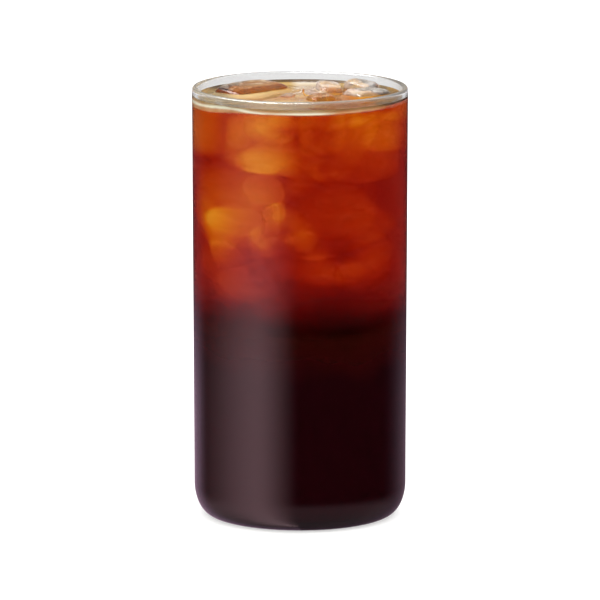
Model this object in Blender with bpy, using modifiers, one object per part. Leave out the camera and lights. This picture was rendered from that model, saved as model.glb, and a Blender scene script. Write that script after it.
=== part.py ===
"""Iced americano: a straight clear tumbler, brimful with black coffee and ice cubes.

Metres, +Z up. The origin is the centre of the flat underside of the glass.
The front of the drink faces -Y, and +X is to the right of someone looking at it.
"""

import math

import bmesh
import bpy
from mathutils import Vector, noise

MM = 0.001

# Driving dimensions of the glass
GLASS_HEIGHT = 146.8 * MM
BASE_RADIUS = 36.0 * MM
RIM_RADIUS = 36.5 * MM
WALL = 1.9 * MM
FLOOR = 4.0 * MM
FOOT_CORNER_WIDTH = 6.2 * MM
FOOT_CORNER_HEIGHT = 10.9 * MM
INNER_CORNER_WIDTH = 6.6 * MM
INNER_CORNER_HEIGHT = 9.0 * MM
ROUND_STEPS = 8
RIM_STEPS = 6
TURN_STEPS = 72

# The drink, and the slit left between pieces that touch
DRINK_LEVEL = 142.3 * MM
TOUCH_GAP = 0.3 * MM
MERGE_DISTANCE = 0.01 * MM

# How the ice has melted: a high power is a sharp box, a low one a ball
ICE_CUTS = 5
ICE_POWER = 6.0
DENT_DEPTH = 0.035
DENT_SCALE = 1.1
SEED_STEP = 7.3

# Every piece of ice that breaks the surface, as the blocks that it is made of.
# A block has its size and centre in millimetres, its turns in degrees about X, Y and Z, and a seed.
SURFACE_ICE = {
    "ice_back_left": [
        {"size": (28.0, 15.5, 25.0), "centre": (-16.7, 16.3, 133.5), "turn": (3.0, 0.0, 45.0), "seed": 1},
    ],
    "ice_centre": [
        {"size": (10.6, 22.0, 21.0), "centre": (4.9, 10.8, 133.4), "turn": (0.5, 1.5, 2.0), "seed": 2},
        {"size": (8.8, 12.0, 10.0), "centre": (9.6, 13.4, 141.2), "turn": (3.0, 5.0, 8.0), "seed": 3},
    ],
    "ice_right": [
        {"size": (17.0, 11.5, 21.0), "centre": (22.8, 6.8, 134.8), "turn": (-2.0, 2.0, 40.0), "seed": 4},
        {"size": (12.0, 8.5, 13.0), "centre": (20.7, 17.6, 139.9), "turn": (3.0, 6.0, -34.0), "seed": 7},
    ],
    "ice_front": [
        {"size": (9.6, 8.2, 12.0), "centre": (7.1, -6.3, 139.3), "turn": (5.0, -4.0, 22.0), "seed": 5},
    ],
    "ice_chip": [
        {"size": (5.4, 9.5, 9.0), "centre": (-4.2, 2.8, 139.3), "turn": (0.0, 4.0, -14.0), "seed": 6},
    ],
}


def clear_scene():
    """Remove every object that is in the scene."""
    for item in list(bpy.data.objects):
        bpy.data.objects.remove(item, do_unlink=True)


def new_collection(name):
    """A collection linked to the scene."""
    collection = bpy.data.collections.new(name)
    bpy.context.scene.collection.children.link(collection)
    return collection


def new_material(name, colour, roughness, transmission, ior):
    """A clear Principled material with its own tint."""
    material = bpy.data.materials.new(name)
    material.use_nodes = True
    shader = material.node_tree.nodes["Principled BSDF"]
    shader.inputs["Base Color"].default_value = (*colour, 1.0)
    shader.inputs["Roughness"].default_value = roughness
    shader.inputs["Metallic"].default_value = 0.0
    shader.inputs["Transmission Weight"].default_value = transmission
    shader.inputs["IOR"].default_value = ior
    material.diffuse_color = (*colour, 1.0)
    return material


def quarter_round(centre, width, height):
    """Points on a quarter of an ellipse, from its outer side down to its lowest point."""
    points = []
    for step in range(ROUND_STEPS + 1):
        angle = -math.pi / 2.0 * step / ROUND_STEPS
        radius = centre[0] + width * math.cos(angle)
        level = centre[1] + height * math.sin(angle)
        points.append((radius, level))
    return points


def outer_radius(level):
    """The radius of the outer wall, which widens slightly from foot to rim."""
    share = (level - FOOT_CORNER_HEIGHT) / (GLASS_HEIGHT - FOOT_CORNER_HEIGHT)
    return BASE_RADIUS + (RIM_RADIUS - BASE_RADIUS) * share


def inner_radius(level):
    """The radius of the inner wall at a height above the inner corner."""
    return outer_radius(level) - WALL


def inner_corner(gap):
    """The rounded corner between inner wall and floor, from the wall down, a gap inside the glass."""
    corner_top = FLOOR + INNER_CORNER_HEIGHT
    wall_radius = inner_radius(corner_top)
    centre = (wall_radius - INNER_CORNER_WIDTH, corner_top)
    width = INNER_CORNER_WIDTH - gap
    height = INNER_CORNER_HEIGHT - gap
    return quarter_round(centre, width, height)


def rim_arc():
    """The fire-polished half round of the rim, from the inner wall over to the outer one."""
    half = WALL / 2.0
    centre_level = GLASS_HEIGHT - half
    centre_radius = outer_radius(centre_level) - half
    points = []
    for step in range(RIM_STEPS + 1):
        angle = math.pi * (1.0 - step / RIM_STEPS)
        radius = centre_radius + half * math.cos(angle)
        level = centre_level + half * math.sin(angle)
        points.append((radius, level))
    return points


def glass_profile():
    """From the middle of the floor up the inner side, over the rim and down the outer side."""
    foot_centre = (BASE_RADIUS - FOOT_CORNER_WIDTH, FOOT_CORNER_HEIGHT)
    foot = quarter_round(foot_centre, FOOT_CORNER_WIDTH, FOOT_CORNER_HEIGHT)
    inside = list(reversed(inner_corner(0.0)))
    return [(0.0, FLOOR)] + inside + rim_arc() + foot + [(0.0, 0.0)]


def drink_profile():
    """From the middle of the surface out to the wall and down to the middle of the floor."""
    edge = (inner_radius(DRINK_LEVEL) - TOUCH_GAP, DRINK_LEVEL)
    return [(0.0, DRINK_LEVEL), edge] + inner_corner(TOUCH_GAP) + [(0.0, FLOOR + TOUCH_GAP)]


def turned_object(name, profile, material, collection):
    """A round solid, its profile turned about the Z axis."""
    mesh = bpy.data.meshes.new(name)
    corners = [(radius, 0.0, level) for radius, level in profile]
    edges = [(index, index + 1) for index in range(len(corners) - 1)]
    mesh.from_pydata(corners, edges, [])
    mesh.materials.append(material)
    turned = bpy.data.objects.new(name, mesh)
    collection.objects.link(turned)
    screw = turned.modifiers.new("Turn", "SCREW")
    screw.axis = "Z"
    screw.angle = math.tau
    screw.steps = TURN_STEPS
    screw.render_steps = TURN_STEPS
    screw.use_merge_vertices = True
    screw.merge_threshold = MERGE_DISTANCE
    screw.use_smooth_shade = True
    return turned


def melted_point(corner, half, seed):
    """Move a point of a plain cube onto the rounded, slightly dented block."""
    reach = sum(abs(value) ** ICE_POWER for value in corner) ** (1.0 / ICE_POWER)
    soft = corner / reach
    dent = noise.noise(soft * DENT_SCALE + Vector((SEED_STEP * seed, 0.0, 0.0)))
    soft *= 1.0 - DENT_DEPTH * (1.0 + dent)
    return Vector((soft.x * half.x, soft.y * half.y, soft.z * half.z))


def melted_block(name, size, seed, grow):
    """The mesh of one ice cube, with each face moved out by the amount that it grows."""
    half = Vector(size) * MM / 2.0 + Vector((grow, grow, grow))
    shape = bmesh.new()
    bmesh.ops.create_cube(shape, size=2.0)
    bmesh.ops.subdivide_edges(shape, edges=shape.edges[:], cuts=ICE_CUTS, use_grid_fill=True)
    for vertex in shape.verts:
        vertex.co = melted_point(vertex.co, half, seed)
    bmesh.ops.triangulate(shape, faces=shape.faces[:])
    mesh = bpy.data.meshes.new(name)
    shape.to_mesh(mesh)
    shape.free()
    mesh.shade_smooth()
    return mesh


def placed_block(name, block, grow, collection):
    """A block of ice, or its cutter, at its place in the drink."""
    mesh = melted_block(name, block["size"], block["seed"], grow)
    placed = bpy.data.objects.new(name, mesh)
    collection.objects.link(placed)
    placed.location = Vector(block["centre"]) * MM
    placed.rotation_euler = [math.radians(angle) for angle in block["turn"]]
    return placed


def combine(target, helper, operation):
    """Join the helper's shape to the target, or take it out."""
    helper.hide_render = True
    helper.display_type = "WIRE"
    boolean = target.modifiers.new(helper.name, "BOOLEAN")
    boolean.operation = operation
    boolean.object = helper


def make_glass(collection):
    """The tumbler: round foot, thin wall and rounded rim in one piece."""
    material = new_material("Clear glass", (0.97, 0.98, 0.98), 0.02, 1.0, 1.5)
    return turned_object("glass", glass_profile(), material, collection)


def make_drink(collection):
    """The black coffee, a solid up to its level."""
    material = new_material("Black coffee", (0.12, 0.03, 0.01), 0.03, 0.6, 1.33)
    return turned_object("coffee", drink_profile(), material, collection)


def make_ice(drink, collection, cutters):
    """The ice that breaks the surface, each piece in a pocket of its own in the drink."""
    material = new_material("Clear ice", (0.93, 0.94, 0.95), 0.08, 1.0, 1.31)
    for name, blocks in SURFACE_ICE.items():
        piece = placed_block(name, blocks[0], 0.0, collection)
        piece.data.materials.append(material)
        for index, block in enumerate(blocks[1:]):
            lump = placed_block(f"lump_{index}_{name}", block, 0.0, cutters)
            combine(piece, lump, "UNION")
        for index, block in enumerate(blocks):
            pocket = placed_block(f"pocket_{index}_{name}", block, TOUCH_GAP, cutters)
            combine(drink, pocket, "DIFFERENCE")


def main():
    """Build the glass, the drink and the ice."""
    clear_scene()
    parts = new_collection("iced_americano")
    cutters = new_collection("cutters")
    make_glass(parts)
    drink = make_drink(parts)
    make_ice(drink, parts, cutters)


main()
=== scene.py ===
"""Looks of the iced americano: clear tumbler, coffee that glows through the ice, wet melted ice.

Metres, +Z up. The front of the drink faces -Y, and +X is to the right.

Light passes through the drink by single surfaces. Where coffee touches glass or ice, only one
surface bends the light, by the ratio of the two indices, and the other lets it straight through.
So the wall that the drink wets has the ratio of glass to coffee, and the coffee's skin has 1.
"""

import math

import bmesh
import bpy
import numpy as np
from mathutils import Matrix, Vector, noise
from mathutils.bvhtree import BVHTree


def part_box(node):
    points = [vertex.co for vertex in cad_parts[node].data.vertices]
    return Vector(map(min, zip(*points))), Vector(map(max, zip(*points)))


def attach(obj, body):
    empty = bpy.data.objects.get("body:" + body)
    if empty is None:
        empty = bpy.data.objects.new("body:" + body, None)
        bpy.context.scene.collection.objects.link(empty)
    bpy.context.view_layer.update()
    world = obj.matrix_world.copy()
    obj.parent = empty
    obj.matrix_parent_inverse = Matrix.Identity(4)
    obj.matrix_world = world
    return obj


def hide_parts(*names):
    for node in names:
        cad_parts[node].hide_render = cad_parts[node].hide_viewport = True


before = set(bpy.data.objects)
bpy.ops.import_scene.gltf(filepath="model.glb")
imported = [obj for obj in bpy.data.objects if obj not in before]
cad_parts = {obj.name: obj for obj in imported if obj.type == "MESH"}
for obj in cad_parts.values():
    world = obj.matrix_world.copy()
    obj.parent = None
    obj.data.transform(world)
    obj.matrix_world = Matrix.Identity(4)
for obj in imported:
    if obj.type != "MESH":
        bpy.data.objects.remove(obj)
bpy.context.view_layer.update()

MM = 0.001
WHITE = (1.0, 1.0, 1.0)
EVEN = (1.0, 1.0, 1.0)

# Camera: distance, height angle and the width that its frame spans at the glass
CAMERA_DISTANCE = 2.16
CAMERA_ELEVATION = 10.5
FRAME_WIDTH = 0.2037
SENSOR_WIDTH = 36.0
CAMERA_REACH = 20.0

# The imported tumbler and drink: height, rim radius and level are read off the solids
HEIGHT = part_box("glass")[1][2]
RIM_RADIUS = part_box("glass")[1][0]
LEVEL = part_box("coffee")[1][2]
WALL = 1.9 * MM
FLOOR = 4.0 * MM
BASE_RADIUS = 36.0 * MM
FOOT_CORNER_WIDTH = 6.2 * MM
FOOT_CORNER_HEIGHT = 10.9 * MM
INNER_CORNER_WIDTH = 6.6 * MM
INNER_CORNER_HEIGHT = 9.0 * MM

# How finely round meshes are made, and the straight ring under the rim that keeps its shading apart
TURN_STEPS = 256
CORNER_STEPS = 20
FOOT_STEPS = 24
RIM_STEPS = 16
GLASS_LONGEST = 6.0 * MM
SHOULDER = 0.2 * MM
ON_AXIS = 1e-7

# The drink: how high it climbs the wall and the ice, and how fast that falls off
WALL_CLIMB = 1.7 * MM
ICE_CLIMB = 0.9 * MM
CLIMB_REACH = 2.1 * MM
CONTACT = LEVEL + WALL_CLIMB
ICE_WATERLINE = LEVEL + ICE_CLIMB
REACH_INTO_WALL = 0.2 * MM
TOP_RINGS = 90
EDGE_RINGS = 20
EDGE_RING = 0.25 * MM
DRINK_LONGEST = 4.0 * MM
NEAR_ICE = 12.0 * MM
FAR = 1.0
SAME_PLACE = 1e-6

# Refractive indices
GLASS_INDEX = 1.5
COFFEE_INDEX = 1.333
ICE_INDEX = 1.31

# Patterns are (noise cells per metre, detail, stretch, distortion), and what they are cut to is
# (start, end, low, high)

# The packed ice: the colour of its sides, a painted glow of the coffee seen through the ice, and
# of its tops, a painted reflection of the bright room above; the slopes over which one gives way
# to the other, and how cloudy the sides and the tops are
SURFACE_ICE = {
    "ice_back_left": ((0.18, 0.026, 0.001), (0.33, 0.12, 0.025), (0.84, 0.965), (0.20, 0.58)),
    "ice_centre": ((0.56, 0.42, 0.33), (0.66, 0.62, 0.59), (0.45, 0.93), (0.38, 0.55)),
    "ice_right": ((0.52, 0.42, 0.36), (0.64, 0.59, 0.55), (0.35, 0.90), (0.40, 0.55)),
    "ice_front": ((0.38, 0.18, 0.03), (0.50, 0.30, 0.08), (0.70, 0.97), (0.34, 0.46)),
    "ice_chip": ((0.30, 0.10, 0.04), (0.56, 0.44, 0.32), (0.70, 0.97), (0.34, 0.40)),
}
ICE_VOXEL = 0.44 * MM
ICE_SMOOTHINGS = 10
SMOOTHING = 0.5
VEILS = ((190.0, 4.0, (1.0, 1.0, 2.0), 1.0), (0.38, 0.62, 0.5, 1.0))
# Faces turned left and right are clouded so that they show the painted glow of the sides, painted
# light in place of the dark ends that refraction gives
LEFT_FACES_PAINTED = (-0.35, -0.65, 0.0, 0.80)
RIGHT_FACES_PAINTED = (0.70, 0.90, 0.0, 0.65)
GRAIN = ((420.0, 2.0), (0.35, 0.65))
TOP_GRAIN = 0.9
SIDE_GRAIN = 0.72
FROST = (0.84, 0.76, 0.66)
FROST_VEINS = ((150.0, 3.0, EVEN, 1.4), (0.47, 0.64, 0.0, 0.6))
# The dark outline: painted shade along the upper edges of the ice, and a coffee stain just above
# the drink
EDGE_SHADE_AND_STAIN = (0.13, 0.065, 0.035)
EDGE_SHADE_AND_STAIN_PATCHES = ((240.0, 2.0), (0.36, 0.56, 0.0, 0.62))
EDGE_SHADE_SLOPES = ((0.42, 0.60), (0.86, 0.68))
STAIN_HEIGHT = 1.0 * MM
ICE_ROUGHNESS = ((260.0, 2.0), (0.4, 0.7, 0.0, 0.10))
DIMPLES = (330.0, 3.0)
DIMPLE_STRENGTH = 0.35
DIMPLE_DEPTH = 0.3 * MM

# Air bubbles in the packed ice: how clear and flat they are, and place and radius of each in
# millimetres
BUBBLE_CLEAR = 0.3
BUBBLE_FLATNESS = 0.7
BUBBLE_CUTS = 3
BUBBLES = (
    ((5.6, -7.6, 143.9), 0.50),
    ((6.9, -8.4, 143.7), 0.42),
    ((8.0, -7.4, 144.2), 0.55),
    ((9.2, -6.6, 143.9), 0.45),
    ((7.4, -5.6, 144.3), 0.36),
    ((8.8, -8.0, 143.4), 0.33),
    ((21.5, 5.6, 144.0), 0.75),
    ((24.6, 8.6, 143.9), 0.50),
    ((19.6, 4.4, 143.6), 0.40),
    ((9.4, 11.5, 144.4), 0.60),
    ((10.8, 14.0, 144.5), 0.40),
    ((20.4, 17.4, 144.6), 0.55),
    ((-20.0, 14.0, 144.6), 0.50),
    ((-14.2, 18.2, 144.7), 0.62),
    ((-10.6, 21.0, 144.4), 0.42),
)

# Slots of the drink's faces while it is cut, and the index of each kind of face
SKIN, TOP, POCKET = 0, 1, 2
FACE_INDEX = (1.0, COFFEE_INDEX, 1.0)
POCKET_GAP = 0.05 * MM

# The film on the surface, partly crema and partly painted light: how far in from the wall it is
# closed, where it paints the backlit meniscus as lit, its share of the surface at the right and how
# much more at the left, and its swirls
LIT_MENISCUS_REACH = 0.9 * MM
PALE_SHARE = 0.97
CREMA_SHARE = 0.80
CREMA_RIGHT_PART = 0.70
CREMA_LEFT_PART = 0.30
CREMA_EDGE = (9.0 * MM, -5.0 * MM)
STREAKS = ((120.0, 3.0, (0.35, 1.0, 1.0), 0.8), (0.35, 0.62, 0.8, 1.0))
SWIRLS = ((38.0, 4.0, (0.6, 1.0, 1.0), 2.6), (0.36, 0.60, 0.62, 1.0))
COVERED = (0.0, 0.25)

# Its colours, partly crema and partly painted light, paler at the left where painted as lit, where
# each gives way to the next, the grey patch of painted reflection and the dark ring of painted
# shade at the back
LIT_CREMA_LEFT = (0.52, 0.37, 0.17)
CREMA_RIGHT = (0.50, 0.21, 0.012)
CREMA_BACK = (0.42, 0.27, 0.08)
PAINTED_REFLECTION_PATCH = (0.62, 0.60, 0.56)
CREMA_DRIFT = (50.0, 3.0, EVEN, 1.5)
CREMA_DRIFT_WIDTH = 30.0 * MM
TURNS_RIGHT = (2.0 * MM, 20.0 * MM)
TURNS_BACK = (2.0 * MM, 22.0 * MM)
REFLECTION_PATCH_ACROSS = ((-4.0 * MM, 0.0, 0.0, 0.7), (10.0 * MM, 6.0 * MM))
REFLECTION_PATCH_ALONG = (14.0 * MM, 20.0 * MM)
# A dark ring of painted shade at the back of the surface, by the wall
SHADE_RING = (33.0 * MM, 33.6 * MM)
SHADE_RING_ALONG = (12.0 * MM, 20.0 * MM)
SHADE_RING_ACROSS = (22.0 * MM, 12.0 * MM)
SHADE_RING_COLOUR = (0.11, 0.065, 0.03)

# Where the film dulls the surface, by lowering its index: how much at the front right and at the
# left
DULL_RIGHT = 0.27
DULL_LEFT = 0.08
DULL_CENTRE = (24.0 * MM, -20.0 * MM)
DULL_REACH = (30.0 * MM, 16.0 * MM)

# The pale band on the wall, partly the film's colour and partly painted light of the lit
# meniscus, and the bright line in it, a painted highlight. Each change is an amount and the places
# across the drink between which it comes in
BAND_BELOW = 0.3 * MM
BAND_SINKS = (1.6 * MM, -17.0 * MM, -36.0 * MM)
BAND_RISES = (0.3 * MM, 5.0 * MM, 22.0 * MM)
BAND_EDGE = (-0.1 * MM, 0.4 * MM)
BAND_SHARE = 0.6
BAND_WEAKENS = ((0.35, 4.0 * MM, 14.0 * MM), (0.5, 24.0 * MM, 31.0 * MM))
BAND_COLOUR = (0.80, 0.52, 0.22)
LINE_ABOVE = 0.55 * MM
LINE_RISES = (1.4 * MM, -13.0 * MM, -27.0 * MM)
LINE_HALF_WIDTH = 0.5 * MM
LINE_SHARE = 0.4
# The bright line's colour is a painted highlight
HIGHLIGHT_LINE_COLOUR = (1.0, 1.0, 0.76)
LINE_FROM = (0.5, 0.9)

# Coffee: its colour and density as an absorbing volume, and how its skin darkens and closes with
# height. The heights wander, and lie lower at the left edge
COFFEE_PASSES = (0.922, 0.692, 0.0)
COFFEE_DENSITY = 360.0
DARKENS = (50.0 * MM, 84.0 * MM)
DARK_STEPS = (
    (0.0, (0.016, 0.0009, 0.0022)),
    (0.3, (0.085, 0.005, 0.0038)),
    (0.6, (0.33, 0.034, 0.017)),
    (1.0, (1.0, 1.0, 1.0)),
)
CLOSES = (50.0 * MM, 70.0 * MM)
WANDER = (45.0, 2.0)
WANDER_HEIGHT = 16.0 * MM
LEANS = (-22.0 * MM, -33.0 * MM, 0.0, -5.0 * MM)

# Glass: its tint, the painted grey shade of the dry wall, the rim made partly diffuse to show
# painted light, and the faint waves
GLASS_TINT = (0.93, 0.94, 0.94)
DRY_FROM = (143.6 * MM, 144.1 * MM)
DRY_WALL_PAINTED_SHADE = (0.70, 0.71, 0.72)
# The top of the rim is made partly diffuse, as painted light
RIM_PAINTED_LIGHT_DEPTH = 1.3 * MM
RIM_PAINTED_LIGHT_CLEAR = 0.80
WAVES = (55.0, 1.0, (1.0, 1.0, 0.35))
WAVE_STRENGTH = 0.02
WAVE_DEPTH = 0.4 * MM

# The studio, as radiance, and the dark room that mirror images show. Where something comes in or
# goes is a slope, the Z part of a direction, or else degrees about Z, 0 at the front and positive
# to the right
STUDIO_WHITE = (1.1, 1.1, 1.1)
SCATTERED_WHITE = (2.2, 2.2, 2.2)
FLOOR_COLOUR = (0.57, 0.57, 0.57)
HORIZON = (0.94, 0.67, 0.38)
HORIZON_RISES = (0.03, 0.08)
HORIZON_FALLS = (0.55, 0.30)
FLOOR_LIFT = 0.48
FLOOR_HALF = 6.0
FLOOR_CUTS = 8
FLOOR_BELOW = 0.2 * MM
ROOM_LEFT = (0.46, 0.30, 0.42)
ROOM_RIGHT = (0.215, 0.142, 0.19)
BACK_LEFT = (-118.0, -146.0)
BACK_RIGHT = (100.0, 146.0)
ROOM_BELOW = (0.34, 0.24, 0.27)
ROOM_AMBIENT = (0.010, 0.008, 0.010)
ROOM_BACK = (0.62, 0.55, 0.45)
ROOM_RIM = (0.80, 0.77, 0.82)
RIM_START = (-0.1512, -0.1496)
CEILING_START = (-0.05, 0.05)
CEILING_WHITE = (0.35, 0.60)
FLOOR_START = (-0.22, -0.5)
OVERHEAD_SLOPES = ((0.55, 0.66), (0.975, 0.93))
OVERHEAD_SIDES = ((-135.0, -100.0), (30.0, -5.0))
OVERHEAD_LIGHT = (19.0, 19.0, 19.0)
LIGHT_NARROW_SHARE = 0.33
LIGHT_NARROW = (-110.0, -45.0)
LIGHT_WIDE = (-145.0, -30.0)
LIGHT_RIGHT = (0.0, -52.0)
LIGHT_COLOUR = (2.1, 1.32, 1.48)
LIGHT_FADES = (-0.174, -0.201, 0.0, 1.0)
SIDES_FADE = (-0.175, -0.203, 0.10, 1.0)

# Bounces that the render follows
MAX_BOUNCES = 48
GLOSSY_BOUNCES = 8
TRANSPARENT_BOUNCES = 32

# Ice seen through coffee: its cracks and clouds, and how its cubes are made. A high power is a
# sharp box, and dents are coarse and fine
SUNK_SHADE = (0.95, 0.86, 0.76)
SUNK_CRACKS = ((70.0, 3.0, (1.0, 1.0, 1.6), 1.5), (0.38, 0.60))
SUNK_VOXEL = 1.1 * MM
SUNK_SMOOTHINGS = 6
SUNK_CUTS = 15
SUNK_POWER = 4.0
DENT_DEPTH = 0.07
COARSE_DENTS = 1.1
FINE_DENTS = 2.7
FINE_SHARE = 0.4
SEED_STEP = 7.3

# Cubes wholly sunk in the drink: size and centre in millimetres, turns in degrees, seed. Sizes,
# centres and turns aren't hand-made: a search outside this script fitted them to the photo's glow
SUNK_ICE = (
    ((23.4, 9.0, 13.4), (4.0, 23.1, 136.1), (-114.4, -179.8, -17.7), 11),
    ((13.3, 14.7, 12.7), (-5.6, 8.0, 134.5), (5.6, -18.4, 55.5), 12),
    ((23.1, 27.8, 28.0), (-8.0, -13.7, 130.6), (54.3, 86.7, -156.7), 13),
    ((26.0, 19.7, 27.0), (19.3, -13.3, 128.8), (158.1, -96.2, -105.7), 14),
    ((9.0, 28.0, 21.3), (9.8, 4.5, 127.1), (-70.8, -164.6, -21.7), 15),
    ((21.2, 27.4, 22.0), (-6.9, 17.4, 116.2), (132.0, 49.7, -15.0), 16),
    ((24.4, 10.6, 28.0), (8.3, -7.6, 108.5), (126.7, 81.8, 137.3), 17),
    ((27.9, 23.3, 27.1), (-16.9, -4.4, 106.8), (88.1, 148.7, 78.5), 18),
    ((16.0, 9.0, 21.3), (-2.8, -23.9, 103.1), (-46.2, 4.1, 64.3), 19),
    ((24.1, 18.1, 25.9), (6.0, 14.1, 99.8), (21.9, -120.0, 5.4), 20),
    ((21.1, 21.7, 14.3), (-13.6, 13.1, 94.9), (-123.7, 78.6, 39.7), 21),
    ((21.5, 10.8, 15.7), (-8.9, -21.2, 93.0), (-123.9, 111.1, 105.6), 22),
    ((14.2, 11.8, 27.2), (17.4, -1.7, 87.9), (-46.5, 15.9, -136.9), 23),
    ((9.6, 18.8, 24.1), (8.0, -17.7, 87.4), (68.4, -65.5, 72.5), 24),
    ((13.4, 25.6, 12.0), (0.5, 24.7, 83.4), (97.1, 163.4, 24.2), 25),
    ((12.4, 14.4, 27.7), (-17.9, 0.9, 83.2), (33.6, -15.4, -40.1), 26),
    ((13.4, 10.1, 20.9), (-15.7, -10.2, 81.5), (155.3, 69.0, -25.1), 27),
    ((11.2, 11.5, 13.0), (-9.5, -18.2, 76.6), (114.9, -11.2, -121.2), 28),
)


def outer_radius(level):
    """The radius of the outer wall at a height."""
    share = (level - FOOT_CORNER_HEIGHT) / (HEIGHT - FOOT_CORNER_HEIGHT)
    return BASE_RADIUS + (RIM_RADIUS - BASE_RADIUS) * share


def inner_radius(level):
    """The radius of the inner wall at a height."""
    return outer_radius(level) - WALL


def quarter_round(centre, width, height, steps):
    """Points on a quarter of an ellipse, from its outermost point down to its lowest."""
    points = []
    for step in range(steps + 1):
        angle = -0.5 * math.pi * step / steps
        radius = centre[0] + width * math.cos(angle)
        points.append((radius, centre[1] + height * math.sin(angle)))
    return points


def inner_corner(reach):
    """The corner between the inner wall and the floor, moved outwards by a reach."""
    top = FLOOR + INNER_CORNER_HEIGHT
    centre = (inner_radius(top) - INNER_CORNER_WIDTH, top)
    width = INNER_CORNER_WIDTH + reach
    height = INNER_CORNER_HEIGHT + reach
    return quarter_round(centre, width, height, CORNER_STEPS)


def rim_arc():
    """The rounded rim, from the inner wall over to the outer one."""
    half = WALL / 2.0
    level = HEIGHT - half
    centre = outer_radius(level) - half
    points = []
    for step in range(RIM_STEPS + 1):
        angle = math.pi * (1.0 - step / RIM_STEPS)
        points.append((centre + half * math.cos(angle), level + half * math.sin(angle)))
    return points


def subdivided(points, longest):
    """The same outline with its long straight runs cut up."""
    result = [points[0]]
    for start, end in zip(points, points[1:]):
        length = math.dist(start, end)
        count = max(1, math.ceil(length / longest))
        for step in range(1, count + 1):
            share = step / count
            radius = start[0] + (end[0] - start[0]) * share
            result.append((radius, start[1] + (end[1] - start[1]) * share))
    return result


def turned_mesh(name, profile, slot_of):
    """A closed round mesh from a profile that starts and ends on the axis."""
    shape = bmesh.new()
    rings = []
    for radius, level in profile:
        if radius < ON_AXIS:
            rings.append([shape.verts.new((0.0, 0.0, level))])
            continue
        shade_ring = []
        for step in range(TURN_STEPS):
            angle = math.tau * step / TURN_STEPS
            corner = (radius * math.cos(angle), radius * math.sin(angle), level)
            shade_ring.append(shape.verts.new(corner))
        rings.append(shade_ring)
    for index, (upper, lower) in enumerate(zip(rings, rings[1:])):
        slot = slot_of(index)
        for step in range(TURN_STEPS):
            after = (step + 1) % TURN_STEPS
            if len(upper) == 1:
                corners = (upper[0], lower[step], lower[after])
            elif len(lower) == 1:
                corners = (upper[step], lower[0], upper[after])
            else:
                corners = (upper[step], lower[step], lower[after], upper[after])
            face = shape.faces.new(corners)
            face.material_index = slot
            face.smooth = True
    mesh = bpy.data.meshes.new(name)
    shape.to_mesh(mesh)
    shape.free()
    return mesh


def new_object(name, mesh):
    """An object of that mesh in the scene."""
    made = bpy.data.objects.new(name, mesh)
    bpy.context.scene.collection.objects.link(made)
    return made


def glass_mesh():
    """The tumbler. Its inner wall has a face slot of its own as high as the drink wets it."""
    inside = [(0.0, FLOOR)] + list(reversed(inner_corner(0.0)))
    inside.append((inner_radius(CONTACT), CONTACT))
    foot_centre = (BASE_RADIUS - FOOT_CORNER_WIDTH, FOOT_CORNER_HEIGHT)
    foot = quarter_round(foot_centre, FOOT_CORNER_WIDTH, FOOT_CORNER_HEIGHT, FOOT_STEPS)
    wet = subdivided(inside, GLASS_LONGEST)
    shoulder = HEIGHT - WALL / 2.0 - SHOULDER
    inner_end = (inner_radius(shoulder), shoulder)
    outer_end = (outer_radius(shoulder), shoulder)
    arc = [inner_end] + rim_arc() + [outer_end]
    dry = subdivided(arc + foot + [(0.0, 0.0)], GLASS_LONGEST)
    wet_rings = len(wet) - 1

    def slot_of(index):
        """1 where the drink wets the glass."""
        return 1 if index < wet_rings else 0

    return turned_mesh("tumbler", wet + dry, slot_of)


def melted_point(corner, half, offset):
    """Move a point of a plain cube onto the rounded, dented one."""
    reach = sum(abs(value) ** SUNK_POWER for value in corner) ** (1.0 / SUNK_POWER)
    soft = corner / reach
    dent = noise.noise(soft * COARSE_DENTS + offset)
    dent += FINE_SHARE * noise.noise(soft * FINE_DENTS + offset)
    soft *= 1.0 - DENT_DEPTH * (1.0 + dent)
    return Vector((soft.x * half.x, soft.y * half.y, soft.z * half.z))


def melted_cube(name, block):
    """A rounded, dented cube, its mesh at its place."""
    size, centre, turn, seed = block
    half = Vector(size) * MM / 2.0
    shape = bmesh.new()
    bmesh.ops.create_cube(shape, size=2.0)
    bmesh.ops.subdivide_edges(shape, edges=shape.edges[:], cuts=SUNK_CUTS, use_grid_fill=True)
    offset = Vector((SEED_STEP * seed, 0.0, 0.0))
    for vertex in shape.verts:
        vertex.co = melted_point(vertex.co, half, offset)
    mesh = bpy.data.meshes.new(name)
    shape.to_mesh(mesh)
    shape.free()
    made = new_object(name, mesh)
    made.location = Vector(centre) * MM
    made.rotation_euler = [math.radians(angle) for angle in turn]
    bpy.context.view_layer.update()
    mesh.transform(made.matrix_world)
    made.location = (0.0, 0.0, 0.0)
    made.rotation_euler = (0.0, 0.0, 0.0)
    return made


def melted_smooth(made, voxel, smoothings):
    """Rebuild an object's surface from voxels and smooth it."""
    remesh = made.modifiers.new("Freeze", "REMESH")
    remesh.mode = "VOXEL"
    remesh.voxel_size = voxel
    smooth = made.modifiers.new("Melt", "SMOOTH")
    smooth.factor = SMOOTHING
    smooth.iterations = smoothings
    return applied(made)


def sunk_ice():
    """All the cubes sunk in the drink, softly frozen together where they touch."""
    pieces = [melted_cube(f"sunk_{index}", block) for index, block in enumerate(SUNK_ICE)]
    shape = bmesh.new()
    for piece in pieces:
        shape.from_mesh(piece.data)
        bpy.data.objects.remove(piece, do_unlink=True)
    mesh = bpy.data.meshes.new("ice_sunk")
    shape.to_mesh(mesh)
    shape.free()
    made = melted_smooth(new_object("ice_sunk", mesh), SUNK_VOXEL, SUNK_SMOOTHINGS)
    made.data.shade_smooth()
    return made


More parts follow.
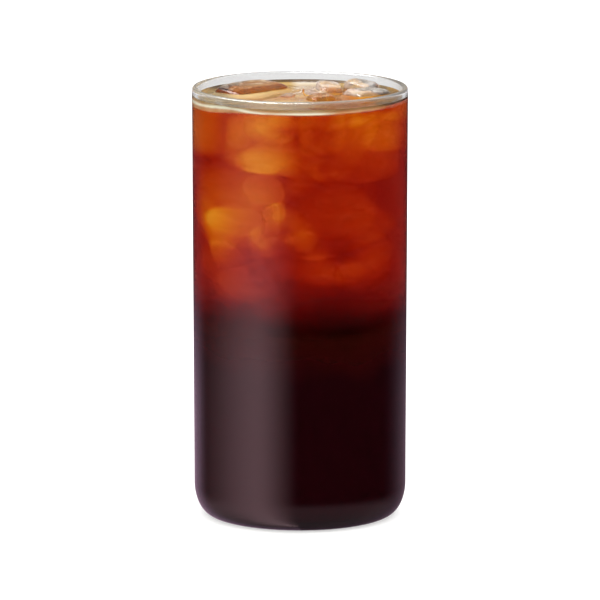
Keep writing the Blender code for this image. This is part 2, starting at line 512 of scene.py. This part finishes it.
def bubbles_mesh():
    """Small, slightly flattened bubbles inside the packed ice, in one mesh."""
    shape = bmesh.new()
    for centre, radius in BUBBLES:
        flat = Matrix.Diagonal((1.0, 1.0, BUBBLE_FLATNESS, 1.0))
        place = Matrix.Translation(Vector(centre) * MM) @ flat
        size = radius * MM
        bmesh.ops.create_icosphere(shape, subdivisions=BUBBLE_CUTS, radius=size, matrix=place)
    for face in shape.faces:
        face.smooth = True
    mesh = bpy.data.meshes.new("ice_bubbles")
    shape.to_mesh(mesh)
    shape.free()
    return mesh


def applied(target):
    """Replace an object's mesh by what its modifiers make of it."""
    depsgraph = bpy.context.evaluated_depsgraph_get()
    mesh = bpy.data.meshes.new_from_object(target.evaluated_get(depsgraph))
    target.modifiers.clear()
    old = target.data
    target.data = mesh
    bpy.data.meshes.remove(old)
    return target


def refined_ice(node):
    """A fine, smooth copy of a packed ice solid."""
    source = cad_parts[node]
    made = new_object(node + "_clear", source.data.copy())
    made.data.materials.clear()
    return melted_smooth(made, ICE_VOXEL, ICE_SMOOTHINGS)


def split_at_waterline(piece):
    """Give the faces under the waterline a slot of their own."""
    shape = bmesh.new()
    shape.from_mesh(piece.data)
    everything = shape.verts[:] + shape.edges[:] + shape.faces[:]
    plane = (0.0, 0.0, ICE_WATERLINE)
    bmesh.ops.bisect_plane(shape, geom=everything, plane_co=plane, plane_no=(0.0, 0.0, 1.0))
    for face in shape.faces:
        face.material_index = 1 if face.calc_center_median().z < ICE_WATERLINE else 0
        face.smooth = True
    shape.to_mesh(piece.data)
    shape.free()


def grown_copy(piece, name, amount):
    """A copy of a piece with its surface moved out."""
    mesh = piece.data.copy()
    made = new_object(name, mesh)
    count = len(mesh.vertices)
    normals = np.empty(count * 3)
    places = np.empty(count * 3)
    mesh.vertex_normals.foreach_get("vector", normals)
    mesh.vertices.foreach_get("co", places)
    mesh.vertices.foreach_set("co", places + normals * amount)
    mesh.update()
    return made


def surface_height(x, y, ice_trees):
    """The drink's height at a place: it climbs the wall and the ice."""
    wall_gap = max(0.0, inner_radius(LEVEL) - math.hypot(x, y))
    at_wall = math.exp(-wall_gap / CLIMB_REACH)
    gap = FAR
    for tree in ice_trees:
        near = tree.find_nearest((x, y, LEVEL), NEAR_ICE)
        if near[0] is not None:
            gap = min(gap, near[3])
    at_ice = math.exp(-gap / CLIMB_REACH)
    return LEVEL + WALL_CLIMB * at_wall + ICE_CLIMB * at_ice * (1.0 - at_wall)


def drink_mesh(ice):
    """The coffee as one closed solid, its top a fine grid that climbs the wall and the ice."""
    depsgraph = bpy.context.evaluated_depsgraph_get()
    trees = [BVHTree.FromObject(piece, depsgraph) for piece in ice]
    edge = inner_radius(CONTACT) + REACH_INTO_WALL
    top = [(edge * step / TOP_RINGS, LEVEL) for step in range(TOP_RINGS + 1)]
    upper = [(edge, CONTACT - step * EDGE_RING) for step in range(EDGE_RINGS)]
    below = [upper[-1]] + inner_corner(REACH_INTO_WALL) + [(0.0, FLOOR - REACH_INTO_WALL)]
    profile = top + upper[1:] + subdivided(below, DRINK_LONGEST)[1:]

    def slot_of(index):
        """The surface first, then the skin."""
        return TOP if index < TOP_RINGS else SKIN

    mesh = turned_mesh("coffee_body", profile, slot_of)
    for vertex in mesh.vertices:
        x, y, z = vertex.co
        if abs(z - LEVEL) < SAME_PLACE and math.hypot(x, y) <= edge + SAME_PLACE:
            vertex.co.z = surface_height(x, y, trees)
    return mesh


def carve(body, cutters):
    """Take the cutters out of the body, their faces in the pocket slot."""
    for cutter in cutters:
        for polygon in cutter.data.polygons:
            polygon.material_index = POCKET
        boolean = body.modifiers.new(cutter.name, "BOOLEAN")
        boolean.operation = "DIFFERENCE"
        boolean.solver = "MANIFOLD"
        boolean.object = cutter
    applied(body)
    for cutter in cutters:
        bpy.data.objects.remove(cutter, do_unlink=True)


def ramp(values, start, end):
    """0 to 1 between start and end, smoothly, for an array."""
    share = np.clip((values - start) / (end - start), 0.0, 1.0)
    return share * share * (3.0 - 2.0 * share)


def change(values, amount, start, end):
    """An amount that comes in between start and end."""
    return amount * ramp(values, start, end)


def pale_top(x, y, left):
    """How far the film covers the surface: crema, and near the wall the lit meniscus as painted
    light.
    """
    gap = np.clip(inner_radius(LEVEL) - np.hypot(x, y), 0.0, None)
    crema = CREMA_SHARE * (CREMA_RIGHT_PART + CREMA_LEFT_PART * left)
    return np.maximum(np.exp(-gap / LIT_MENISCUS_REACH), crema)


def pale_wall(x, z):
    """How far the pale band, partly painted light, and its bright line, a painted highlight, cover
    the drink's side.
    """
    lowest = LEVEL - BAND_BELOW - change(x, *BAND_SINKS) + change(x, *BAND_RISES)
    line_height = lowest + LINE_ABOVE + change(x, *LINE_RISES)
    highlight_line = np.exp(-((z - line_height) / LINE_HALF_WIDTH) ** 2)
    weaker = 1.0 - change(x, *BAND_WEAKENS[0]) - change(x, *BAND_WEAKENS[1])
    return ramp(z - lowest, *BAND_EDGE) * (BAND_SHARE + LINE_SHARE * highlight_line) * weaker


def slots_to_attributes(mesh):
    """Turn the face slots into face attributes: the index, the skin and how pale each face is."""
    count = len(mesh.polygons)
    slots = np.empty(count, dtype=np.int32)
    mesh.polygons.foreach_get("material_index", slots)
    centres = np.empty(count * 3, dtype=np.float32)
    mesh.polygons.foreach_get("center", centres)
    x, y, z = centres.reshape(-1, 3).T
    left = ramp(x, *CREMA_EDGE)
    from_front_right = np.hypot(x - DULL_CENTRE[0], y - DULL_CENTRE[1])
    dull = np.maximum(change(from_front_right, DULL_RIGHT, *DULL_REACH), DULL_LEFT * left)
    top, skin = slots == TOP, slots == SKIN
    attributes = {
        "index": np.array(FACE_INDEX)[slots] - dull * top,
        "skin": skin,
        "pale": pale_top(x, y, left) * top + pale_wall(x, z) * skin,
    }
    for name, values in attributes.items():
        data = mesh.attributes.new(name, "FLOAT", "FACE").data
        data.foreach_set("value", values.astype(np.float32))
    mesh.polygons.foreach_set("material_index", np.zeros(count, dtype=np.int32))
    mesh.polygons.foreach_set("use_smooth", np.ones(count, dtype=bool))
    mesh.update()


def clear_material(name, index, clear=1.0):
    """A white, smooth material that lets light through, its nodes and its shader."""
    material = bpy.data.materials.new(name)
    material.use_nodes = True
    nodes = material.node_tree.nodes
    shader = nodes["Principled BSDF"]
    shader.inputs["Base Color"].default_value = (*WHITE, 1.0)
    shader.inputs["Roughness"].default_value = 0.0
    shader.inputs["Transmission Weight"].default_value = clear
    shader.inputs["IOR"].default_value = index
    return material, nodes, shader


def math_node(nodes, operation, *values):
    """A math node, its inputs linked or set."""
    node = nodes.new("ShaderNodeMath")
    node.operation = operation
    for slot, value in enumerate(values):
        if isinstance(value, (int, float)):
            node.inputs[slot].default_value = value
        else:
            node.id_data.links.new(value, node.inputs[slot])
    return node.outputs[0]


def product(nodes, first, *others):
    """The first value times all the others."""
    for other in others:
        first = math_node(nodes, "MULTIPLY", first, other)
    return first


def rest_of(nodes, share):
    """What a share leaves of 1."""
    return math_node(nodes, "SUBTRACT", 1.0, share)


def smooth_step(nodes, value, start, end, low=0.0, high=1.0):
    """From low to high between start and end, smoothly."""
    node = nodes.new("ShaderNodeMapRange")
    node.interpolation_type = "SMOOTHSTEP"
    node.inputs["From Min"].default_value = start
    node.inputs["From Max"].default_value = end
    node.inputs["To Min"].default_value = low
    node.inputs["To Max"].default_value = high
    node.id_data.links.new(value, node.inputs["Value"])
    return node.outputs["Result"]


def colour_mix(nodes, share, first, second):
    """Two colours mixed by a share; each is linked or set."""
    node = nodes.new("ShaderNodeMix")
    node.data_type = "RGBA"
    sockets = {socket.identifier: socket for socket in node.inputs}
    values = {"Factor_Float": share, "A_Color": first, "B_Color": second}
    for name, value in values.items():
        if isinstance(value, tuple):
            sockets[name].default_value = (*value, 1.0)
        else:
            node.id_data.links.new(value, sockets[name])
    return next(socket for socket in node.outputs if socket.identifier == "Result_Color")


def colour_steps(nodes, value, steps):
    """A colour read off a row of steps."""
    node = nodes.new("ShaderNodeValToRGB")
    elements = node.color_ramp.elements
    while len(elements) < len(steps):
        elements.new(0.5)
    for element, (position, colour) in zip(elements, steps):
        element.position = position
        element.color = (*colour, 1.0)
    node.id_data.links.new(value, node.inputs["Fac"])
    return node.outputs["Color"]


def attribute(nodes, name):
    """A face attribute of the mesh."""
    node = nodes.new("ShaderNodeAttribute")
    node.attribute_name = name
    return node.outputs["Fac"]


def noise_node(nodes, scale, detail, stretch=EVEN, distortion=0.0):
    """Noise in the object's own space, in cells per metre."""
    place = nodes.new("ShaderNodeTexCoord")
    mapping = nodes.new("ShaderNodeMapping")
    mapping.inputs["Scale"].default_value = stretch
    node = nodes.new("ShaderNodeTexNoise")
    node.inputs["Scale"].default_value = scale
    node.inputs["Detail"].default_value = detail
    node.inputs["Distortion"].default_value = distortion
    node.id_data.links.new(place.outputs["Object"], mapping.inputs["Vector"])
    node.id_data.links.new(mapping.outputs["Vector"], node.inputs["Vector"])
    return node.outputs["Fac"]


def pattern(nodes, cells, limits):
    """Noise cut to a range."""
    return smooth_step(nodes, noise_node(nodes, *cells), *limits)


def wandering(nodes, value, cells, width):
    """A value moved up and down by noise, over a width."""
    offset = math_node(nodes, "SUBTRACT", noise_node(nodes, *cells), 0.5)
    return math_node(nodes, "ADD", value, product(nodes, offset, width))


def bump(nodes, height, strength, distance):
    """A bump from a height, its result for a shader's normal."""
    node = nodes.new("ShaderNodeBump")
    node.inputs["Strength"].default_value = strength
    node.inputs["Distance"].default_value = distance
    node.id_data.links.new(height, node.inputs["Height"])
    return node.outputs["Normal"]


def place_node(nodes, axis, source="Object"):
    """One coordinate in the object's own space, or of its normal."""
    place = nodes.new("ShaderNodeTexCoord")
    split = nodes.new("ShaderNodeSeparateXYZ")
    nodes.id_data.links.new(place.outputs[source], split.inputs["Vector"])
    return split.outputs[axis]


def film_colour(nodes, skin, pale):
    """The colours of the film, partly crema and partly painted light, on the surface and as the
    band and line on the wall.
    """
    across, along = place_node(nodes, "X"), place_node(nodes, "Y")
    drifting = wandering(nodes, across, CREMA_DRIFT, CREMA_DRIFT_WIDTH)
    turns_right = smooth_step(nodes, drifting, *TURNS_RIGHT)
    # The film is paler at the left, partly crema and partly painted light
    cream = colour_mix(nodes, turns_right, LIT_CREMA_LEFT, CREMA_RIGHT)
    cream = colour_mix(nodes, smooth_step(nodes, along, *TURNS_BACK), cream, CREMA_BACK)
    # A grey-white patch of painted reflection towards the middle back of the surface
    reflection_patch = product(
        nodes,
        smooth_step(nodes, across, *REFLECTION_PATCH_ACROSS[0]),
        smooth_step(nodes, across, *REFLECTION_PATCH_ACROSS[1]),
        smooth_step(nodes, along, *REFLECTION_PATCH_ALONG),
    )
    cream = colour_mix(nodes, reflection_patch, cream, PAINTED_REFLECTION_PATCH)
    squares = product(nodes, across, across), product(nodes, along, along)
    radius = math_node(nodes, "POWER", math_node(nodes, "ADD", *squares), 0.5)
    # The dark ring of painted shade by the back wall
    shade_ring = product(
        nodes,
        smooth_step(nodes, radius, *SHADE_RING),
        smooth_step(nodes, along, *SHADE_RING_ALONG),
        smooth_step(nodes, across, *SHADE_RING_ACROSS),
    )
    cream = colour_mix(nodes, shade_ring, cream, SHADE_RING_COLOUR)
    # The band's colour, partly painted light, and the painted highlight of the bright line
    highlight_line = colour_mix(nodes, smooth_step(nodes, pale, *LINE_FROM), BAND_COLOUR, HIGHLIGHT_LINE_COLOUR)
    return colour_mix(nodes, skin, cream, highlight_line)


def coffee_material():
    """Black coffee: an absorbing volume whose skin darkens below the ice, under a pale film that is
    partly crema and partly painted light.
    """
    material, nodes, shader = clear_material("coffee", COFFEE_INDEX)
    links = material.node_tree.links
    links.new(attribute(nodes, "index"), shader.inputs["IOR"])
    skin = attribute(nodes, "skin")
    swirls = math_node(nodes, "MAXIMUM", pattern(nodes, *SWIRLS), skin)
    texture = product(nodes, pattern(nodes, *STREAKS), swirls)
    pale = product(nodes, attribute(nodes, "pale"), texture)

    height = wandering(nodes, place_node(nodes, "Z"), WANDER, WANDER_HEIGHT)
    lean = smooth_step(nodes, place_node(nodes, "X"), *LEANS)
    height = math_node(nodes, "ADD", height, lean)
    body = colour_steps(nodes, smooth_step(nodes, height, *DARKENS), DARK_STEPS)
    body = colour_mix(nodes, skin, WHITE, body)
    covered = smooth_step(nodes, pale, *COVERED)
    colour = colour_mix(nodes, covered, body, film_colour(nodes, skin, pale))
    links.new(colour, shader.inputs["Base Color"])

    closed = product(nodes, skin, rest_of(nodes, smooth_step(nodes, height, *CLOSES)))
    passing = rest_of(nodes, closed)
    clear = rest_of(nodes, product(nodes, pale, PALE_SHARE))
    links.new(product(nodes, passing, clear), shader.inputs["Transmission Weight"])
    volume = nodes.new("ShaderNodeVolumeAbsorption")
    volume.inputs["Color"].default_value = (*COFFEE_PASSES, 1.0)
    volume.inputs["Density"].default_value = COFFEE_DENSITY
    links.new(volume.outputs["Volume"], nodes["Material Output"].inputs["Volume"])
    return material


def glass_material(name, index, colour):
    """Clear glass with the faint waves of a pressed tumbler, painted grey shade on the dry wall and
    a partly diffuse rim as painted light.
    """
    material, nodes, shader = clear_material(name, index)
    links = material.node_tree.links
    # The dry wall above the drink is painted grey, as painted shade
    above = smooth_step(nodes, place_node(nodes, "Z"), *DRY_FROM)
    links.new(colour_mix(nodes, above, colour, DRY_WALL_PAINTED_SHADE), shader.inputs["Base Color"])
    waves = noise_node(nodes, *WAVES)
    links.new(bump(nodes, waves, WAVE_STRENGTH, WAVE_DEPTH), shader.inputs["Normal"])
    # The top of the rim turns partly diffuse and shows painted light
    limits = (HEIGHT - RIM_PAINTED_LIGHT_DEPTH, HEIGHT, 1.0, RIM_PAINTED_LIGHT_CLEAR)
    rim_painted_light = smooth_step(nodes, place_node(nodes, "Z"), *limits)
    links.new(rim_painted_light, shader.inputs["Transmission Weight"])
    return material


def ice_edge_shade_and_stain(nodes):
    """Where the ice is outlined dark, in patches: painted shade along its upper edges and a coffee
    stain just above the drink.
    """
    upward = place_node(nodes, "Z", "Normal")
    edge = product(nodes, *(smooth_step(nodes, upward, *limits) for limits in EDGE_SHADE_SLOPES))
    height = place_node(nodes, "Z")
    wet = smooth_step(nodes, height, ICE_WATERLINE + STAIN_HEIGHT, ICE_WATERLINE)
    return product(nodes, math_node(nodes, "MAXIMUM", edge, wet), pattern(nodes, *EDGE_SHADE_AND_STAIN_PATCHES))


def ice_material(name, sides_painted_glow, tops_painted_reflection, slopes, clouds):
    """Wet ice: clear to cloudy, with veils, frost veins and dimples; painted reflection on its
    tops, painted coffee glow on its sides and a dark outline of painted shade and coffee stain.
    """
    material, nodes, shader = clear_material(name, ICE_INDEX)
    links = material.node_tree.links
    upward = smooth_step(nodes, place_node(nodes, "Z", "Normal"), *slopes)
    cloud = math_node(nodes, "ADD", product(nodes, upward, clouds[1] - clouds[0]), clouds[0])
    cloud = product(nodes, cloud, pattern(nodes, *VEILS))
    shade_and_stain = ice_edge_shade_and_stain(nodes)
    # Faces turned left or right are clouded to show the painted side colour
    sideways = place_node(nodes, "X", "Normal")
    left_faces_painted = smooth_step(nodes, sideways, *LEFT_FACES_PAINTED)
    right_faces_painted = smooth_step(nodes, sideways, *RIGHT_FACES_PAINTED)
    for other in (left_faces_painted, right_faces_painted, shade_and_stain):
        cloud = math_node(nodes, "MAXIMUM", cloud, other)
    links.new(rest_of(nodes, cloud), shader.inputs["Transmission Weight"])

    grain = pattern(nodes, *GRAIN)
    # Tops get a painted reflection, sides a painted glow of the coffee seen through the ice
    top_painted_reflection = colour_mix(nodes, grain, tuple(TOP_GRAIN * value for value in tops_painted_reflection), tops_painted_reflection)
    top_painted_reflection = colour_mix(nodes, pattern(nodes, *FROST_VEINS), top_painted_reflection, FROST)
    side_painted_glow = colour_mix(nodes, grain, tuple(SIDE_GRAIN * value for value in sides_painted_glow), sides_painted_glow)
    surface = colour_mix(nodes, upward, side_painted_glow, top_painted_reflection)
    # The outline colour: painted shade on the upper edges, a coffee stain just above the drink
    links.new(colour_mix(nodes, shade_and_stain, surface, EDGE_SHADE_AND_STAIN), shader.inputs["Base Color"])
    links.new(pattern(nodes, *ICE_ROUGHNESS), shader.inputs["Roughness"])
    dimples = noise_node(nodes, *DIMPLES)
    links.new(bump(nodes, dimples, DIMPLE_STRENGTH, DIMPLE_DEPTH), shader.inputs["Normal"])
    return material


def sunk_ice_material(name):
    """Ice seen through coffee: clear, with cracks and clouds that take a little of the light."""
    material, nodes, shader = clear_material(name, 1.0)
    colour = colour_mix(nodes, pattern(nodes, *SUNK_CRACKS), SUNK_SHADE, WHITE)
    material.node_tree.links.new(colour, shader.inputs["Base Color"])
    return material


def make_floor():
    """A plain pale floor, without mirror image, near white where the glass shades it."""
    shape = bmesh.new()
    bmesh.ops.create_grid(shape, x_segments=FLOOR_CUTS, y_segments=FLOOR_CUTS, size=FLOOR_HALF)
    mesh = bpy.data.meshes.new("floor")
    shape.to_mesh(mesh)
    shape.free()
    floor = new_object("floor", mesh)
    floor.location.z = -FLOOR_BELOW
    material = bpy.data.materials.new("floor")
    material.use_nodes = True
    nodes, links = material.node_tree.nodes, material.node_tree.links
    shader = nodes["Principled BSDF"]
    shader.inputs["Base Color"].default_value = (*FLOOR_COLOUR, 1.0)
    shader.inputs["Roughness"].default_value = 1.0
    shader.inputs["Specular IOR Level"].default_value = 0.0
    shader.inputs["Emission Color"].default_value = (*WHITE, 1.0)
    path = nodes.new("ShaderNodeLightPath")
    lift = product(nodes, path.outputs["Is Camera Ray"], FLOOR_LIFT)
    links.new(lift, shader.inputs["Emission Strength"])
    mesh.materials.append(material)
    floor.visible_glossy = False


def mirrored_room(nodes, azimuth, slope):
    """What mirror images show: a dark room, a soft light at the left, a pale back and ceiling."""
    narrow = product(nodes, smooth_step(nodes, azimuth, *LIGHT_NARROW), LIGHT_NARROW_SHARE)
    wide = product(nodes, smooth_step(nodes, azimuth, *LIGHT_WIDE), 1.0 - LIGHT_NARROW_SHARE)
    wide = product(nodes, wide, smooth_step(nodes, slope, *LIGHT_FADES))
    light = math_node(nodes, "ADD", narrow, wide)
    light = product(nodes, light, smooth_step(nodes, azimuth, *LIGHT_RIGHT))
    fade = smooth_step(nodes, slope, *SIDES_FADE)
    back_left = product(nodes, smooth_step(nodes, azimuth, *BACK_LEFT), fade)
    back_right = product(nodes, smooth_step(nodes, azimuth, *BACK_RIGHT), fade)
    overhead = product(
        nodes,
        *(smooth_step(nodes, slope, *limits) for limits in OVERHEAD_SLOPES),
        *(smooth_step(nodes, azimuth, *limits) for limits in OVERHEAD_SIDES),
    )
    room = colour_mix(nodes, smooth_step(nodes, slope, *FLOOR_START), ROOM_AMBIENT, ROOM_BELOW)
    layers = (
        (back_left, ROOM_LEFT),
        (back_right, ROOM_RIGHT),
        (light, LIGHT_COLOUR),
        (smooth_step(nodes, slope, *RIM_START), ROOM_RIM),
        (smooth_step(nodes, slope, *CEILING_START), ROOM_BACK),
        (smooth_step(nodes, slope, *CEILING_WHITE), WHITE),
        (overhead, OVERHEAD_LIGHT),
    )
    for share, colour in layers:
        room = colour_mix(nodes, share, room, colour)
    return room


def make_world():
    """A white studio with a warm horizon inside the drink, brighter for what scatters light."""
    world = bpy.data.worlds.new("studio")
    bpy.context.scene.world = world
    world.use_nodes = True
    nodes, links = world.node_tree.nodes, world.node_tree.links
    place = nodes.new("ShaderNodeTexCoord")
    split = nodes.new("ShaderNodeSeparateXYZ")
    links.new(place.outputs["Generated"], split.inputs["Vector"])
    front = product(nodes, split.outputs["Y"], -1.0)
    azimuth = math_node(nodes, "ARCTAN2", split.outputs["X"], front)
    azimuth = product(nodes, azimuth, 180.0 / math.pi)
    slope = split.outputs["Z"]

    path = nodes.new("ShaderNodeLightPath")
    mirror = product(nodes, path.outputs["Is Reflection Ray"], path.outputs["Is Glossy Ray"])
    scattered = math_node(nodes, "GREATER_THAN", path.outputs["Diffuse Depth"], 0.5)
    inner = rest_of(nodes, path.outputs["Is Camera Ray"])
    inner = math_node(nodes, "SUBTRACT", inner, scattered)
    inner = math_node(nodes, "MAXIMUM", inner, 0.0)
    rising = smooth_step(nodes, slope, *HORIZON_RISES)
    falling = smooth_step(nodes, slope, *HORIZON_FALLS)
    horizon = product(nodes, rising, falling, inner)
    studio = colour_mix(nodes, horizon, STUDIO_WHITE, HORIZON)
    studio = colour_mix(nodes, scattered, studio, SCATTERED_WHITE)
    colour = colour_mix(nodes, mirror, studio, mirrored_room(nodes, azimuth, slope))
    links.new(colour, nodes["Background"].inputs["Color"])


def make_camera(target):
    """The camera, at the photograph's viewing angle."""
    camera = bpy.data.cameras.new("camera")
    camera.sensor_width = SENSOR_WIDTH
    camera.lens = SENSOR_WIDTH * CAMERA_DISTANCE / FRAME_WIDTH
    camera.clip_end = CAMERA_REACH
    made = bpy.data.objects.new("camera", camera)
    bpy.context.scene.collection.objects.link(made)
    angle = math.radians(CAMERA_ELEVATION)
    back = Vector((0.0, -math.cos(angle), math.sin(angle)))
    made.location = target + back * CAMERA_DISTANCE
    made.rotation_euler = (-back).to_track_quat("-Z", "Y").to_euler()
    bpy.context.scene.camera = made


def add_glass():
    """The tumbler."""
    glass = new_object("tumbler", glass_mesh())
    dry = glass_material("glass_dry", GLASS_INDEX, GLASS_TINT)
    wet = glass_material("glass_wet", GLASS_INDEX / COFFEE_INDEX, WHITE)
    glass.data.materials.append(dry)
    glass.data.materials.append(wet)
    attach(glass, "root")
    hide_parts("glass")


def dress_coffee(body, pieces):
    """Cut a pocket in the coffee for every piece of ice, and give it its looks."""
    carve(body, [grown_copy(piece, "pocket_" + piece.name, POCKET_GAP) for piece in pieces])
    slots_to_attributes(body.data)
    body.data.materials.clear()
    body.data.materials.append(coffee_material())
    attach(body, "root")
    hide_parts("coffee")


def dress_sunk_ice(sunk):
    """Give the cubes that the drink covers their looks."""
    sunk.data.materials.append(sunk_ice_material("ice_sunk"))
    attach(sunk, "root")


def dress_surface_ice(ice):
    """Give the packed ice its looks, above the drink and below."""
    under = sunk_ice_material("ice_under")
    for piece, (node, looks) in zip(ice, SURFACE_ICE.items()):
        split_at_waterline(piece)
        piece.data.materials.append(ice_material("above_" + node, *looks))
        piece.data.materials.append(under)
        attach(piece, "root")
        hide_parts(node)


def add_bubbles():
    """The air in the packed ice."""
    bubbles = new_object("ice_bubbles", bubbles_mesh())
    air, _, _ = clear_material("air_in_ice", 1.0 / ICE_INDEX, BUBBLE_CLEAR)
    bubbles.data.materials.append(air)
    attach(bubbles, "root")


def main():
    """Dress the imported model."""
    make_camera(Vector((0.0, 0.0, HEIGHT / 2.0)))
    make_floor()
    make_world()

    add_glass()
    ice = [refined_ice(node) for node in SURFACE_ICE]
    body = new_object("coffee_body", drink_mesh(ice))
    sunk = sunk_ice()
    dress_coffee(body, ice + [sunk])
    dress_sunk_ice(sunk)
    dress_surface_ice(ice)
    add_bubbles()

    scene = bpy.context.scene
    scene.view_settings.view_transform = "Standard"
    scene.cycles.max_bounces = MAX_BOUNCES
    scene.cycles.transmission_bounces = MAX_BOUNCES
    scene.cycles.glossy_bounces = GLOSSY_BOUNCES
    scene.cycles.transparent_max_bounces = TRANSPARENT_BOUNCES


main()
